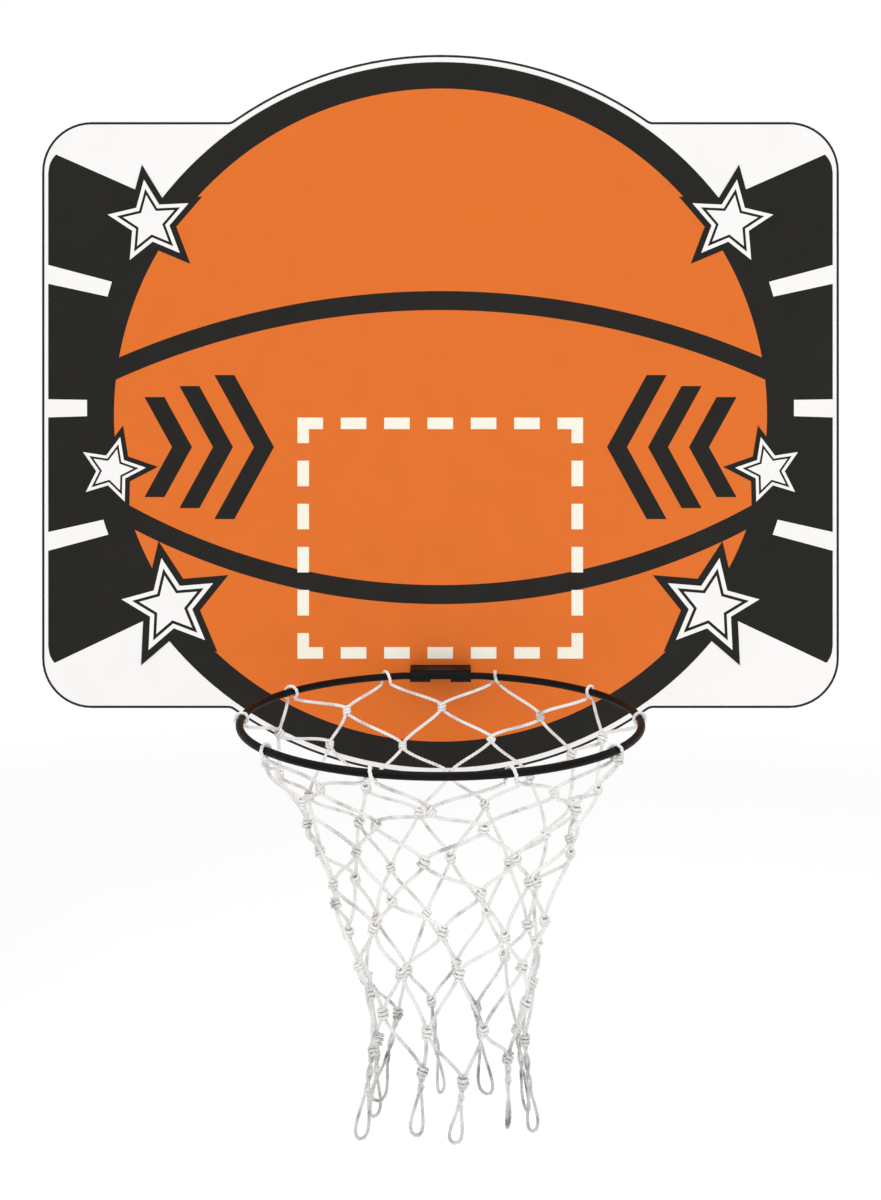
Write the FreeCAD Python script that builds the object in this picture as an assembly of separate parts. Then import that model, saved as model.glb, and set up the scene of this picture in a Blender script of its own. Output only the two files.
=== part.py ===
# Wall-hung basketball backboard: a shaped board, a fold-up rim and a knotted net.
# Millimetres. X runs to the right, Y runs into the wall and Z runs up.
# The origin lies on the wall plane, midway between the two keyholes.
import FreeCAD, Part
import math
import os

Vec = FreeCAD.Vector
origin = Vec(0, 0, 0)
along_x = Vec(1, 0, 0)
along_y = Vec(0, 1, 0)
along_z = Vec(0, 0, 1)
same_place = 0.001

# Board: a rounded rectangle with a round bulge above and below
board_width = 480.0
shoulder_height = 353.0
corner_radius = 30.0
bulge_radius = 217.0
notch_fillet = 5.5
core_thickness = 6.0
sheet_thickness = 0.5
band_thickness = 1.0
wall_gap = 10.0
hang_height = 110.0

# Rim: a round rod with a straight run at the back, which is its axle
rod_diameter = 4.0
rod_sides = 10
rim_inner_diameter = 205.0
rim_drop = 154.0
rim_standoff = 14.0
rim_bend_radius = 20.0
axle_side_play = 2.0

# Hinge leaf: a strap rolled round the axle, through a slot, and up behind the board
leaf_width = 36.0
leaf_thickness = 1.5
leaf_bend_inside = 1.5
leaf_flange = 30.0
leaf_corner = 4.0
knuckle_length = 12.0
knuckle_wrap = 300.0
lip_wrap = 105.0
hinge_clearance = 0.1
slot_clearance = 0.2

# Stop tab: welded to the axle, it meets the leaf from below when the rim is level
tab_width = 11.0
tab_thickness = 2.0
tab_reach = 9.0

# Hinge bolts, with countersunk heads under the printed sheet
bolt_diameter = 4.0
bolt_head_diameter = 8.0
bolt_spacing = 20.0
bolt_above_leaf = 17.0
bolt_end = 1.0
bolt_clearance = 0.1
washer_diameter = 9.0
washer_thickness = 0.8
nut_across_flats = 7.0
nut_height = 3.2

# Hangers: hat-shaped straps with a keyhole
hanger_spacing = 300.0
hanger_width = 28.0
hanger_thickness = 1.2
hanger_bend_inside = 1.0
hanger_web = 30.0
hanger_foot = 12.0
hanger_corner = 3.0
keyhole_entry_diameter = 9.0
keyhole_slot_width = 4.6
keyhole_slot_length = 11.0

# Wood screws that hold the hangers
screw_diameter = 3.5
screw_head_diameter = 7.0
screw_head_height = 2.2
screw_depth = 4.5
screw_clearance = 0.1

# Stick-on rubber pads that keep the lower edge off the wall
pad_from_side = 70.0
pad_from_lower_edge = 45.0
pad_diameter = 20.0

# Net of knotted twine
twine_diameter = 2.0
twine_sides = 6
hitch_facets = 8
net_columns = 10
net_rows = 8
net_drop = 168.0
throat_diameter = 84.0
row_growth = 1.3
taper_power = 1.5
knot_width = 3.6
knot_height = 5.0
knot_shoulder = 4.5
hitch_gap = 0.3
tail_length = 44.0
tail_width = 9.0
tail_knot = 6.0
tail_facets = 6

# Places worked out from the sizes above
core_rear = -wall_gap
core_front = core_rear - core_thickness
face = core_front - sheet_thickness
board_z = -hang_height
rim_z = board_z - rim_drop
rod_radius = rod_diameter / 2
rim_radius = rim_inner_diameter / 2 + rod_radius
axle_y = face - rim_standoff
axle_half = leaf_width / 2 + axle_side_play
bend_offset = math.sqrt((rim_radius - rim_bend_radius) ** 2 - axle_half**2)
rim_y = axle_y - rim_bend_radius - bend_offset
knuckle_radius = rod_radius + hinge_clearance
leaf_under = rim_z + knuckle_radius
leaf_top = leaf_under + leaf_thickness
bolt_z = leaf_top + bolt_above_leaf
flange_rear = core_rear + leaf_thickness
washer_rear = flange_rear + washer_thickness
nut_rear = washer_rear + nut_height
bolt_rear = nut_rear + bolt_end
bolt_places = [-bolt_spacing / 2, bolt_spacing / 2]
hanger_z = keyhole_slot_length / 2
hanger_places = [-hanger_spacing / 2, hanger_spacing / 2]
pad_x = board_width / 2 - pad_from_side
pad_z = board_z - shoulder_height / 2 + pad_from_lower_edge


def box(low, high):
    size = high - low
    return Part.makeBox(size.x, size.y, size.z, low)


def rod_along_y(radius, x, z, front, rear):
    return Part.makeCylinder(radius, rear - front, Vec(x, front, z), along_y)


def cone_along_y(front_radius, rear_radius, x, z, front, rear):
    return Part.makeCone(front_radius, rear_radius, rear - front, Vec(x, front, z), along_y)


def flat_face(points):
    return Part.Face(Part.makePolygon(points + points[:1]))


def solid_of(faces):
    shell = Part.makeShell(faces)
    shell.sewShape()
    solid = Part.makeSolid(shell)
    if solid.Volume < 0:
        solid.reverse()
    return solid


def ring_of_points(centre, radius, count):
    # Points on a circle that faces along X
    turns = [2 * math.pi * i / count for i in range(count)]
    return [centre + Vec(0, radius * math.cos(turn), radius * math.sin(turn)) for turn in turns]


def board_face(inset, y):
    # The board's outline, moved inwards by inset: one quarter, mirrored twice
    half_width = board_width / 2 - inset
    half_height = shoulder_height / 2 - inset
    corner = corner_radius - inset
    bulge = bulge_radius - inset
    notch = notch_fillet + inset
    notch_z = half_height + notch
    notch_x = math.sqrt((bulge + notch) ** 2 - notch_z**2)
    lean = math.atan2(notch_x, notch_z)
    slant = math.sqrt(0.5)
    notch_turn = lean / 2

    top = Vec(0, y, bulge)
    top_mid = Vec(bulge * math.sin(lean / 2), y, bulge * math.cos(lean / 2))
    top_end = Vec(bulge * math.sin(lean), y, bulge * math.cos(lean))
    notch_mid = Vec(notch_x - notch * math.sin(notch_turn), y, notch_z - notch * math.cos(notch_turn))
    notch_end = Vec(notch_x, y, half_height)
    shoulder_end = Vec(half_width - corner, y, half_height)
    corner_mid = Vec(
        half_width - corner + corner * slant, y, half_height - corner + corner * slant
    )
    corner_end = Vec(half_width, y, half_height - corner)
    side_middle = Vec(half_width, y, 0)

    quarter = [
        Part.Arc(top, top_mid, top_end).toShape(),
        Part.Arc(top_end, notch_mid, notch_end).toShape(),
        Part.LineSegment(notch_end, shoulder_end).toShape(),
        Part.Arc(shoulder_end, corner_mid, corner_end).toShape(),
        Part.LineSegment(corner_end, side_middle).toShape(),
    ]
    upper = quarter + [edge.mirror(origin, along_x) for edge in quarter]
    edges = upper + [edge.mirror(origin, along_z) for edge in upper]
    outline = Part.Face(Part.Wire(Part.__sortEdges__(edges)))
    outline.translate(Vec(0, 0, board_z))
    return outline


def bent_strip(start_y, start_z, heading, moves, thickness):
    # Section of a bent strip in the YZ plane. Moves are ("run", length) or ("bend", radius, turn),
    # with the radius at the middle of the sheet and turns to the left positive.
    edges = []
    ends = []
    for offset in (thickness / 2, -thickness / 2):
        y, z, angle = start_y, start_z, math.radians(heading)

        def side_point():
            return Vec(0, y - offset * math.sin(angle), z + offset * math.cos(angle))

        first = side_point()
        for kind, *values in moves:
            before = side_point()
            if kind == "run":
                y += values[0] * math.cos(angle)
                z += values[0] * math.sin(angle)
                edges.append(Part.LineSegment(before, side_point()).toShape())
                continue
            radius, turn = values
            swing = math.copysign(radius, turn)
            centre_y = y - swing * math.sin(angle)
            centre_z = z + swing * math.cos(angle)
            points = []
            for _ in range(2):
                angle += math.radians(turn) / 2
                y = centre_y + swing * math.sin(angle)
                z = centre_z - swing * math.cos(angle)
                points.append(side_point())
            edges.append(Part.Arc(before, points[0], points[1]).toShape())
        ends.append((first, side_point()))
    edges += [Part.LineSegment(*pair).toShape() for pair in zip(*ends)]
    return Part.Face(Part.Wire(Part.__sortEdges__(edges)))


def across(section, low_x, high_x):
    strip = section.extrude(Vec(high_x - low_x, 0, 0))
    strip.translate(Vec(low_x, 0, 0))
    return strip


def rounded(sheet, radius, x_places, z_places):
    # rounds the corners of a sheet seen along Y: the edges through it at these places
    edges = []
    for edge in sheet.Edges:
        middle = edge.CenterOfMass
        off_x = min(abs(middle.x - x) for x in x_places)
        off_z = min(abs(middle.z - z) for z in z_places)
        if max(off_x, off_z) < same_place:
            edges.append(edge)
    return sheet.makeFillet(radius, edges)


def keyhole(x):
    # A round hole for the screw's head with a slot above it for the shank
    front = -wall_gap / 2
    rear = wall_gap / 2
    slot_half = keyhole_slot_width / 2
    slot_top = keyhole_slot_length
    entry = rod_along_y(keyhole_entry_diameter / 2, x, 0, front, rear)
    slot = box(Vec(x - slot_half, front, 0), Vec(x + slot_half, rear, slot_top))
    slot_end = rod_along_y(slot_half, x, slot_top, front, rear)
    return entry.fuse([slot, slot_end]).removeSplitter()


def hanger(x):
    radius = hanger_bend_inside + hanger_thickness / 2
    riser = wall_gap - hanger_thickness - 2 * radius
    foot_run = hanger_foot - radius
    half_height = hanger_web / 2 + hanger_foot + radius
    moves = [
        ("run", foot_run),
        ("bend", radius, -90),
        ("run", riser),
        ("bend", radius, 90),
        ("run", hanger_web),
        ("bend", radius, 90),
        ("run", riser),
        ("bend", radius, -90),
        ("run", foot_run),
    ]
    start_y = core_rear + hanger_thickness / 2
    sides = [x - hanger_width / 2, x + hanger_width / 2]
    ends = [hanger_z - half_height, hanger_z + half_height]
    section = bent_strip(start_y, ends[0], 90, moves, hanger_thickness)
    strap = rounded(across(section, *sides), hanger_corner, sides, ends)
    cuts = [keyhole(x)]
    for z in hanger_screw_heights():
        cuts.append(rod_along_y(screw_diameter / 2 + screw_clearance, x, z, core_front, 0))
    return strap.cut(cuts)


def hanger_screw_heights():
    radius = hanger_bend_inside + hanger_thickness / 2
    foot_middle = hanger_web / 2 + radius * 2 + (hanger_foot - radius) / 2
    return [hanger_z - foot_middle, hanger_z + foot_middle]


def wood_screw(x, z):
    # Pan head on the strap, with a shank that ends inside the core
    seat = core_rear + hanger_thickness
    head = rod_along_y(screw_head_diameter / 2, x, z, seat, seat + screw_head_height)
    shank = rod_along_y(screw_diameter / 2, x, z, core_rear - screw_depth, seat)
    return head.fuse(shank)


def screw_hole(x, z):
    radius = screw_diameter / 2 + screw_clearance
    return rod_along_y(radius, x, z, core_rear - screw_depth - screw_clearance, core_rear)


def pad(x):
    return rod_along_y(pad_diameter / 2, x, pad_z, core_rear, 0)


def hinge_slot(above):
    half = leaf_width / 2 + slot_clearance
    low = Vec(-half, face, leaf_under - slot_clearance)
    return box(low, Vec(half, core_rear, leaf_top + above))


def bolt_sink(x, gap):
    # Countersunk head, flush with the core's front, and shank
    radius = bolt_diameter / 2 + gap
    head_radius = bolt_head_diameter / 2 + gap
    neck = core_front + head_radius - radius
    head = cone_along_y(head_radius, radius, x, bolt_z, core_front, neck)
    return head.fuse(rod_along_y(radius, x, bolt_z, core_front, bolt_rear)).removeSplitter()


def hinge_washer(x):
    outer = rod_along_y(washer_diameter / 2, x, bolt_z, flange_rear, washer_rear)
    return outer.cut(rod_along_y(bolt_diameter / 2 + bolt_clearance, x, bolt_z, core_front, 0))


def hinge_nut(x):
    reach = nut_across_flats / math.sqrt(3)
    turns = [math.radians(60 * i) for i in range(7)]
    points = [
        Vec(x + reach * math.cos(turn), washer_rear, bolt_z + reach * math.sin(turn))
        for turn in turns
    ]
    body = Part.Face(Part.makePolygon(points)).extrude(Vec(0, nut_height, 0))
    return body.cut(rod_along_y(bolt_diameter / 2 + bolt_clearance, x, bolt_z, core_front, 0))


def hinge_leaf():
    # A plate that stands behind the board and comes out through the slot, and three curls round the axle
    middle = leaf_thickness / 2
    radius = leaf_bend_inside + middle
    half = leaf_width / 2
    window = half - knuckle_length
    start_z = leaf_under + leaf_flange
    moves = [
        ("run", leaf_flange - leaf_bend_inside - leaf_thickness),
        ("bend", radius, -90),
        ("run", core_rear + middle - radius - axle_y),
    ]
    section = bent_strip(core_rear + middle, start_z, -90, moves, leaf_thickness)
    plate = rounded(across(section, -half, half), leaf_corner, [-half, half], [start_z])
    curls = []
    for low, high, wrap in (
        (-half, -window, knuckle_wrap),
        (-window, window, lip_wrap),
        (window, half, knuckle_wrap),
    ):
        roll = [("bend", knuckle_radius + middle, wrap)]
        curl = bent_strip(axle_y, leaf_under + middle, -180, roll, leaf_thickness)
        curls.append(across(curl, low, high))
    holes = [
        rod_along_y(bolt_diameter / 2 + bolt_clearance, x, bolt_z, core_front, 0) for x in bolt_places
    ]
    return plate.fuse(curls).removeSplitter().cut(holes)


def rim():
    # A round axle, then a many-sided section turned round the first bend, the ring and the last bend
    lean = math.degrees(math.atan2(axle_half, bend_offset))
    turn_axis = Vec(0, 0, -1)
    centre = Vec(0, rim_y, rim_z)
    right_bend = Vec(axle_half, axle_y - rim_bend_radius, rim_z)
    left_bend = Vec(-axle_half, axle_y - rim_bend_radius, rim_z)
    axle_start = Vec(-axle_half, axle_y, rim_z)
    axle = Part.makeCylinder(rod_radius, 2 * axle_half, axle_start, along_x)
    section = flat_face(ring_of_points(axle_start + along_x * 2 * axle_half, rod_radius, rod_sides))
    runs = []
    for pivot, turn in ((right_bend, lean), (centre, 360 - 2 * lean), (left_bend, lean)):
        runs.append(section.revolve(pivot, turn_axis, turn))
        section.rotate(pivot, turn_axis, turn)
    return axle.fuse(runs).removeSplitter()


def stop_tab():
    top = rim_z + rod_radius
    low = Vec(-tab_width / 2, axle_y, top - tab_thickness)
    plate = box(low, Vec(tab_width / 2, axle_y + tab_reach, top))
    axle = Part.makeCylinder(rod_radius, 2 * axle_half, Vec(-axle_half, axle_y, rim_z), along_x)
    return plate.cut(axle)


def row_height(row):
    # Rows stand closer together near the rim, where the meshes are pulled wide
    top = rod_radius + hitch_gap + twine_diameter
    return rim_z - top - (net_drop - top) * (row / net_rows) ** row_growth


def row_radius(row):
    # The net narrows quickly under the rim and slowly near the throat
    throat = throat_diameter / 2
    left = (row_height(row) - row_height(net_rows)) / (rim_z - row_height(net_rows))
    return throat + (rim_radius - throat) * left**taper_power


def net_corner(row, step, offset):
    # One corner of the many-sided net, with 2 steps to each column
    angle = math.pi * step / net_columns + math.pi / 2
    radius = row_radius(row) + offset
    return Vec(radius * math.cos(angle), rim_y + radius * math.sin(angle), row_height(row))


def twine_outline(row, step):
    # Ten corners of one length of twine between two knots, as shares of its flat panel
    top_left = net_corner(row, step, 0)
    top_width = (net_corner(row, step + 1, 0) - top_left).Length
    low_width = (net_corner(row + 1, step + 1, 0) - net_corner(row + 1, step, 0)).Length
    mid_top = (top_left + net_corner(row, step + 1, 0)) / 2
    mid_low = (net_corner(row + 1, step, 0) + net_corner(row + 1, step + 1, 0)) / 2
    height = (mid_top - mid_low).Length
    run_x = (top_width + low_width) / 2
    length = math.hypot(run_x, height)
    side_u = twine_diameter / 2 * height / length
    side_v = twine_diameter / 2 * run_x / length
    start_u = knot_shoulder * run_x / length
    start_v = knot_shoulder * height / length

    def share(x, depth):
        # A point measured from the panel's left edge, which leans with the taper
        width = top_width + (low_width - top_width) * depth / height
        return ((x - (top_width - width) / 2) / width, depth / height)

    inset = (top_width - low_width) / 2
    end_x = top_width - inset
    return [
        (0, 0),
        (knot_width / 2 / top_width, 0),
        share(start_u + side_u, start_v - side_v),
        share(end_x - start_u + side_u, height - start_v - side_v),
        (1, 1 - knot_height / 2 / height),
        (1, 1),
        (1 - knot_width / 2 / low_width, 1),
        share(end_x - start_u - side_u, height - start_v + side_v),
        share(start_u - side_u, start_v + side_v),
        (0, knot_height / 2 / height),
    ]


def panel_point(row, step, u, v, offset):
    top = net_corner(row, step, offset) * (1 - u) + net_corner(row, step + 1, offset) * u
    low = net_corner(row + 1, step, offset) * (1 - u) + net_corner(row + 1, step + 1, offset) * u
    return top * (1 - v) + low * v


def net_mesh():
    # A many-sided sheet, holed between the twines, with the twine's thickness
    half = twine_diameter / 2
    faces = []
    for row in range(net_rows):
        for step in range(2 * net_columns):
            leans_right = (row + step) % 2 == 1
            outline = twine_outline(row, step)
            if not leans_right:
                outline = [(1 - u, v) for u, v in outline]
            inner = [panel_point(row, step, u, v, -half) for u, v in outline]
            outer = [panel_point(row, step, u, v, half) for u, v in outline]
            faces += [flat_face(inner), flat_face(outer)]
            open_sides = [1, 2, 3, 6, 7, 8]
            if row == 0:
                open_sides.append(0)
            if row == net_rows - 1:
                open_sides.append(5)
            for i in open_sides:
                j = i + 1
                faces.append(flat_face([inner[i], inner[j], outer[j]]))
                faces.append(flat_face([inner[i], outer[j], outer[i]]))
    return solid_of(faces)


def column_turns(row):
    # Angles of the knots in a row, from the middle of the back
    step = 360 / net_columns
    shift = step / 2 if row % 2 == 0 else 0
    return [shift + step * i for i in range(net_columns)]


def round_rim(shape, turns):
    copies = []
    for turn in turns:
        copy = shape.copy()
        copy.rotate(Vec(0, rim_y, rim_z), along_z, turn)
        copies.append(copy)
    return Part.makeCompound(copies)


def net_hitches():
    # Six-sided twine passed once round the rod, in flat facets, at the head of each column
    radius = twine_diameter / 2
    centre = Vec(0, rim_y + rim_radius, rim_z)
    wrap = (rod_radius + hitch_gap) / math.cos(math.pi / hitch_facets) + radius
    rings = []
    for i in range(hitch_facets):
        turn = 2 * math.pi * i / hitch_facets
        ring = []
        for side in range(twine_sides):
            angle = 2 * math.pi * (side + 0.5) / twine_sides
            reach = wrap + radius * math.cos(angle)
            ring.append(
                centre + Vec(radius * math.sin(angle), reach * math.sin(turn), -reach * math.cos(turn))
            )
        rings.append(ring)
    faces = []
    for i in range(hitch_facets):
        here, there = rings[i - 1], rings[i]
        for side in range(twine_sides):
            faces.append(flat_face([here[side - 1], here[side], there[side], there[side - 1]]))
    return round_rim(solid_of(faces), column_turns(0))


def teardrop(top_z, top_half, half_width, low_z, y):
    # Straight sides from the knot to a rounded foot in flat facets
    centre_z = low_z + half_width
    head = [Vec(-top_half, y, top_z), Vec(top_half, y, top_z)] if top_half else [Vec(0, y, top_z)]
    turns = [math.pi * i / tail_facets for i in range(tail_facets + 1)]
    foot = [Vec(half_width * math.cos(turn), y, centre_z - half_width * math.sin(turn)) for turn in turns]
    return flat_face(head + foot)


def net_tail_loops():
    # A drop-shaped loop of twine under each knot of the last row
    top = row_height(net_rows)
    low = top - tail_length
    y = rim_y + row_radius(net_rows) - twine_diameter / 2
    outer = teardrop(top, knot_width / 2, tail_width / 2, low, y)
    inner = teardrop(top - tail_knot, 0, tail_width / 2 - twine_diameter, low + twine_diameter, y)
    loop = outer.cut(inner).extrude(Vec(0, twine_diameter, 0))
    return round_rim(loop, column_turns(net_rows))


def board_core():
    body = board_face(band_thickness, core_front).extrude(Vec(0, core_thickness, 0))
    cuts = [hinge_slot(leaf_bend_inside + slot_clearance)]
    cuts += [bolt_sink(x, bolt_clearance) for x in bolt_places]
    cuts += [screw_hole(x, z) for x in hanger_places for z in hanger_screw_heights()]
    return body.cut(cuts)


def face_sheet():
    body = board_face(band_thickness, face).extrude(Vec(0, sheet_thickness, 0))
    return body.cut(hinge_slot(slot_clearance))


def edge_band():
    strip = board_face(0, face).cut(board_face(band_thickness, face))
    return strip.extrude(Vec(0, sheet_thickness + core_thickness, 0))


parts = {
    "board_core": board_core(),
    "face_sheet": face_sheet(),
    "edge_band": edge_band(),
    "hinge_leaf": hinge_leaf(),
    "hinge_bolts": Part.makeCompound([bolt_sink(x, 0) for x in bolt_places]),
    "hinge_washers": Part.makeCompound([hinge_washer(x) for x in bolt_places]),
    "hinge_nuts": Part.makeCompound([hinge_nut(x) for x in bolt_places]),
    "hanger_left": hanger(hanger_places[0]),
    "hanger_right": hanger(hanger_places[1]),
    "hanger_screws": Part.makeCompound(
        [wood_screw(x, z) for x in hanger_places for z in hanger_screw_heights()]
    ),
    "pad_left": pad(-pad_x),
    "pad_right": pad(pad_x),
    "rim": rim(),
    "stop_tab": stop_tab(),
    "net_hitches": net_hitches(),
    "net_mesh": net_mesh(),
    "net_tail_loops": net_tail_loops(),
}

os.makedirs("parts", exist_ok=True)
for name, shape in parts.items():
    shape.exportStep(f"parts/{name}.step")
    print(name, len(shape.Solids), "solids", round(shape.Volume, 1), "mm3", "valid", shape.isValid())
print("axle", axle_y, rim_z, "rim centre", rim_y, "net foot", row_height(net_rows) - tail_length)
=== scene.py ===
import math
import bpy
import numpy as np
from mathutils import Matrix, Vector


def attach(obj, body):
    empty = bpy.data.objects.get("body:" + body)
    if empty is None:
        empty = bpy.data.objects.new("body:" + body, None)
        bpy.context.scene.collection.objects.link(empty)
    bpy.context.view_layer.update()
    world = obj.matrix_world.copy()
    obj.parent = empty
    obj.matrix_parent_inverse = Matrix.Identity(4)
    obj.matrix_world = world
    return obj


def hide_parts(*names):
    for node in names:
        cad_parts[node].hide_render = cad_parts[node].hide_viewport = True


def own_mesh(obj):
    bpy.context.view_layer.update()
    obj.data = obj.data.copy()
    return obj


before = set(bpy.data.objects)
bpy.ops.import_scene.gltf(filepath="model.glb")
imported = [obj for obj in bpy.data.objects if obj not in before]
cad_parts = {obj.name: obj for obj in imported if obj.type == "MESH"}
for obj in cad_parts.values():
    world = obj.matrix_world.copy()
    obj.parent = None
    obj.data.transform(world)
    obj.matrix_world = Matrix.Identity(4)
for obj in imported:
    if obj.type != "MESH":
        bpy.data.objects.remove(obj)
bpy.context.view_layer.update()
print("frame loaded:", len(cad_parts), "nodes")

mm = 0.001
fullTurn, quarterTurn = 2 * math.pi, math.pi / 2
sideWay, backWay, upWay = np.array([1.0, 0.0, 0.0]), np.array([0.0, 1.0, 0.0]), np.array([0.0, 0.0, 1.0])
down = np.array([0.0, 0.0, -1.0])
dice = np.random.default_rng(41)  # for the small strays of the net

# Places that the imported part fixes, in metres
board = {
    "centreZ": -0.110,
    "face": -0.0165,
    "halfWidth": 0.240,
    "pixel": 0.0006023,  # one photo pixel on the printed face
    "pixelX": 440.5,
    "pixelY": 415.0,
}
ring = {
    "z": -0.264,
    "axleY": -0.0305,
    "centreY": -0.13259903,
    "radius": 0.1045,
    "rod": 0.002,
    "bend": 0.020,
    "axleHalf": 0.020,
}


# Meshes from whole arrays

def gridFaces(rows, columns, closeRows=False, closeColumns=False):
    # quads of a grid of points; a closed direction joins its last line to its first
    r = np.arange(rows if closeRows else rows - 1)
    c = np.arange(columns if closeColumns else columns - 1)
    r, c = np.meshgrid(r, c, indexing="ij")
    nextR, nextC = (r + 1) % rows, (c + 1) % columns
    quads = np.stack([r * columns + c, r * columns + nextC, nextR * columns + nextC, nextR * columns + c], -1)
    return quads.reshape(-1, 4)


def repeatFaces(faces, copies, step):
    # the same faces for each of several equal blocks of points
    return (faces[None] + (np.arange(copies) * step)[:, None, None]).reshape(-1, faces.shape[1])


def newObject(name, data):
    # an object at the origin, in the scene
    made = bpy.data.objects.new(name, data)
    bpy.context.scene.collection.objects.link(made)
    return made


def newPiece(name, points, faceSets, material, body, smooth=True):
    # one mesh from points and sets of faces with equal counts of corners, riding on a body
    points = np.asarray(points, dtype=np.float32).reshape(-1, 3)
    mesh = bpy.data.meshes.new(name)
    mesh.vertices.add(len(points))
    mesh.vertices.foreach_set("co", points.ravel())
    loops = np.concatenate([f.ravel() for f in faceSets]).astype(np.int32)
    totals = np.concatenate([np.full(len(f), f.shape[1]) for f in faceSets])
    mesh.loops.add(len(loops))
    mesh.loops.foreach_set("vertex_index", loops)
    mesh.polygons.add(len(totals))
    mesh.polygons.foreach_set("loop_start", (np.cumsum(totals) - totals).astype(np.int32))
    mesh.polygons.foreach_set("use_smooth", np.full(len(totals), smooth))
    mesh.update(calc_edges=True)
    mesh.validate()
    mesh.materials.append(material)
    piece = newObject(name, mesh)
    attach(piece, body)
    return piece


def unit(vectors):
    # each vector divided by its length
    return vectors / np.maximum(np.linalg.norm(vectors, axis=-1, keepdims=True), 1e-12)


def around(steps):
    # angles spaced evenly over a full turn
    return np.arange(steps) * fullTurn / steps


def arc(centre, reach, angle):
    # flat points at a reach from a centre, along each angle
    return np.stack([centre[0] + reach * np.cos(angle), centre[1] + reach * np.sin(angle)], -1)


def tubeSurface(path, across, radius, sides, twist=None, lobes=0, lobeDepth=0.0):
    # a ring of points round each path point: centre + radius * (cos * normal + sin * binormal),
    # with the ring turned by twist and drawn in by lobeDepth between its lobes
    tangent = unit(np.gradient(path, axis=-2))
    normal = unit(across - tangent * np.sum(across * tangent, -1, keepdims=True))
    binormal = np.cross(tangent, normal)
    angle = around(sides)
    reach = 1 - lobeDepth * (0.5 - 0.5 * np.cos(lobes * angle))
    turn = angle if twist is None else angle + twist[..., None]
    radius = np.asarray(radius)[..., None] if np.ndim(radius) else radius
    c = (np.cos(turn) * reach * radius)[..., None]
    s = (np.sin(turn) * reach * radius)[..., None]
    return path[..., None, :] + c * normal[..., None, :] + s * binormal[..., None, :]


def tubeFaces(count, rings, sides):
    # walls and flat ends of several open tubes with the same counts
    walls = repeatFaces(gridFaces(rings, sides, closeColumns=True), count, rings * sides)
    start = np.arange(sides)[::-1][None]
    end = (np.arange(sides) + (rings - 1) * sides)[None]
    caps = repeatFaces(np.concatenate([start, end]), count, rings * sides)
    return [walls, caps]


def polarPoints(reach, depth):
    # points about an axis along Y: at each level and angle a reach from the axis and a depth along it
    angle = around(reach.shape[1])
    return np.stack([reach * np.cos(angle), depth, reach * np.sin(angle)], -1).reshape(-1, 3)


def polarShell(reach, depth, ends, centre):
    # a closed skin of such points, its levels from the wall side to the front, with a pole at either end
    levels, steps = reach.shape
    skin = polarPoints(reach, depth)
    poles = np.array([[0, ends[0], 0], [0, ends[1], 0]])
    points = np.concatenate([skin, poles]) + np.asarray(centre)
    here, there = np.arange(steps), (np.arange(steps) + 1) % steps
    first = np.stack([np.full(steps, len(skin)), there, here], -1)
    base = (levels - 1) * steps
    last = np.stack([np.full(steps, len(skin) + 1), base + here, base + there], -1)
    return points, gridFaces(levels, steps, closeColumns=True), np.concatenate([first, last])


def polarRing(reach, depth, centre):
    # the same about an open middle: the last level joins the first
    faces = gridFaces(*reach.shape, closeRows=True, closeColumns=True)
    return polarPoints(reach, depth) + np.asarray(centre), faces


def turned(profile, steps):
    # (reach, depth) pairs, the same at every angle
    profile = np.asarray(profile)
    return np.repeat(profile[:, :1], steps, 1), np.repeat(profile[:, 1:], steps, 1)


def joinShells(shells):
    # several skins in one mesh: points, then quads, then threes
    offsets = np.cumsum([0] + [len(shell[0]) for shell in shells[:-1]])
    points = np.concatenate([shell[0] for shell in shells])
    sets = []
    for k in range(1, len(shells[0])):
        sets.append(np.concatenate([shell[k] + offset for shell, offset in zip(shells, offsets)]))
    return points, sets


# Materials

def linear(red, green, blue):
    # screen values 0 to 255 to the linear values that shaders take
    value = np.array([red, green, blue]) / 255
    value = np.where(value <= 0.04045, value / 12.92, ((value + 0.055) / 1.055) ** 2.4)
    return (*value.tolist(), 1.0)


def finish(name, colour, roughness, metallic=0.0, specular=0.5):
    # an even material, to which textures are fed later
    material = bpy.data.materials.new(name)
    material.use_nodes = True
    sockets = material.node_tree.nodes["Principled BSDF"].inputs
    sockets["Base Color"].default_value = colour
    sockets["Roughness"].default_value = roughness
    sockets["Metallic"].default_value = metallic
    sockets["Specular IOR Level"].default_value = specular
    return material


def node(material, kind, links=None, **settings):
    # one node, with its sockets set or linked by name
    tree = material.node_tree
    made = tree.nodes.new(kind)
    for key, value in settings.items():
        if hasattr(made, key):
            setattr(made, key, value)
        else:
            made.inputs[key.replace("_", " ")].default_value = value
    for key, socket in (links or {}).items():
        tree.links.new(socket, made.inputs[key])
    return made


def place(material, scale=(1, 1, 1), turn=0.0):
    # Object coordinates, turned about Y and stretched by scale
    vector = node(material, "ShaderNodeTexCoord").outputs["Object"]
    if turn:
        spun = node(material, "ShaderNodeMapping", {"Vector": vector}, Rotation=(0, turn, 0))
        vector = spun.outputs["Vector"]
    return node(material, "ShaderNodeMapping", {"Vector": vector}, Scale=scale).outputs["Vector"]


def noise(material, size, detail=3.0, roughness=0.55, stretch=(1, 1, 1), turn=0.0, curl=0.0):
    # noise whose features measure about size metres
    return node(
        material, "ShaderNodeTexNoise", {"Vector": place(material, stretch, turn)},
        Scale=1 / size, Detail=detail, Roughness=roughness, Distortion=curl,
    ).outputs["Fac"]


def joined(material, first, second, operation):
    # two texture values added or multiplied
    return node(material, "ShaderNodeMath", {0: first, 1: second}, operation=operation).outputs["Value"]


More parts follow.
